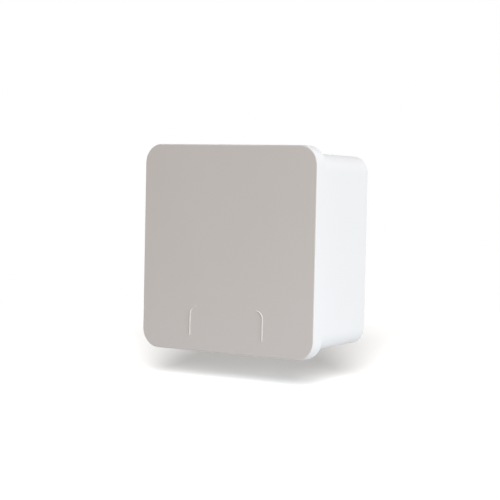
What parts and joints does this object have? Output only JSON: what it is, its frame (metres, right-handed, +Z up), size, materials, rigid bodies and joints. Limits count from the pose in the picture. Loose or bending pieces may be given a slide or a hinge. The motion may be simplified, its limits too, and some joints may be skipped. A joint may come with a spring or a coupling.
{
  "type": "surface mount box",
  "caption": "Square surface mount box for fibre cabling: drafted back box with plain sides, larger push-fit cover with rounded corners and an arch line, splice tray and ports inside.",
  "frame": {"origin": "centre of the back face, on the wall", "axes": "+X to the right seen from the room, +Y into the wall, +Z up"},
  "size_m": [0.086, 0.0462, 0.086],
  "materials": {
    "box_plastic": "fine matt moulded texture, white",
    "tray_plastic": "smooth moulded, pale grey",
    "holder_plastic": "soft moulded, dark grey",
    "screw_steel": "zinc plated",
    "adapter_green": "moulded, green for angled polish",
    "clip_steel": "rolled spring steel",
    "latch_plastic": "natural moulded",
    "sleeve_ceramic": "ground zirconia",
    "cap_plastic": "smooth moulded, translucent white"
  },
  "bodies": {
    "back_box": {"base": "box_plastic", "splice_tray": "tray_plastic", "splice_holder": "holder_plastic", "tray_screws": "screw_steel", "cable_clamp": "tray_plastic", "clamp_screws": "screw_steel", "left_adapter_housing": "adapter_green", "left_adapter_clip": "clip_steel", "left_lower_latch": "latch_plastic", "left_upper_latch": "latch_plastic", "left_sleeve": "sleeve_ceramic", "right_adapter_housing": "adapter_green", "right_adapter_clip": "clip_steel", "right_lower_latch": "latch_plastic", "right_upper_latch": "latch_plastic", "right_sleeve": "sleeve_ceramic"},
    "cover": {"cover": "box_plastic"},
    "left_outer_cap": {"left_outer_cap": "cap_plastic"},
    "left_inner_cap": {"left_inner_cap": "cap_plastic"},
    "right_outer_cap": {"right_outer_cap": "cap_plastic"},
    "right_inner_cap": {"right_inner_cap": "cap_plastic"}
  },
  "joints": [
    {"name": "cover_pull", "type": "slide", "parent": "back_box", "child": "cover", "axis": [0, -1, 0], "range_m": [0, 0.045]},
    {"name": "left_outer_cap_pull", "type": "slide", "parent": "back_box", "child": "left_outer_cap", "axis": [0, 0, -1], "range_m": [0, 0.014]},
    {"name": "left_inner_cap_pull", "type": "slide", "parent": "back_box", "child": "left_inner_cap", "axis": [0, 0, 1], "range_m": [0, 0.012]},
    {"name": "right_outer_cap_pull", "type": "slide", "parent": "back_box", "child": "right_outer_cap", "axis": [0, 0, -1], "range_m": [0, 0.014]},
    {"name": "right_inner_cap_pull", "type": "slide", "parent": "back_box", "child": "right_inner_cap", "axis": [0, 0, 1], "range_m": [0, 0.012]}
  ]
}
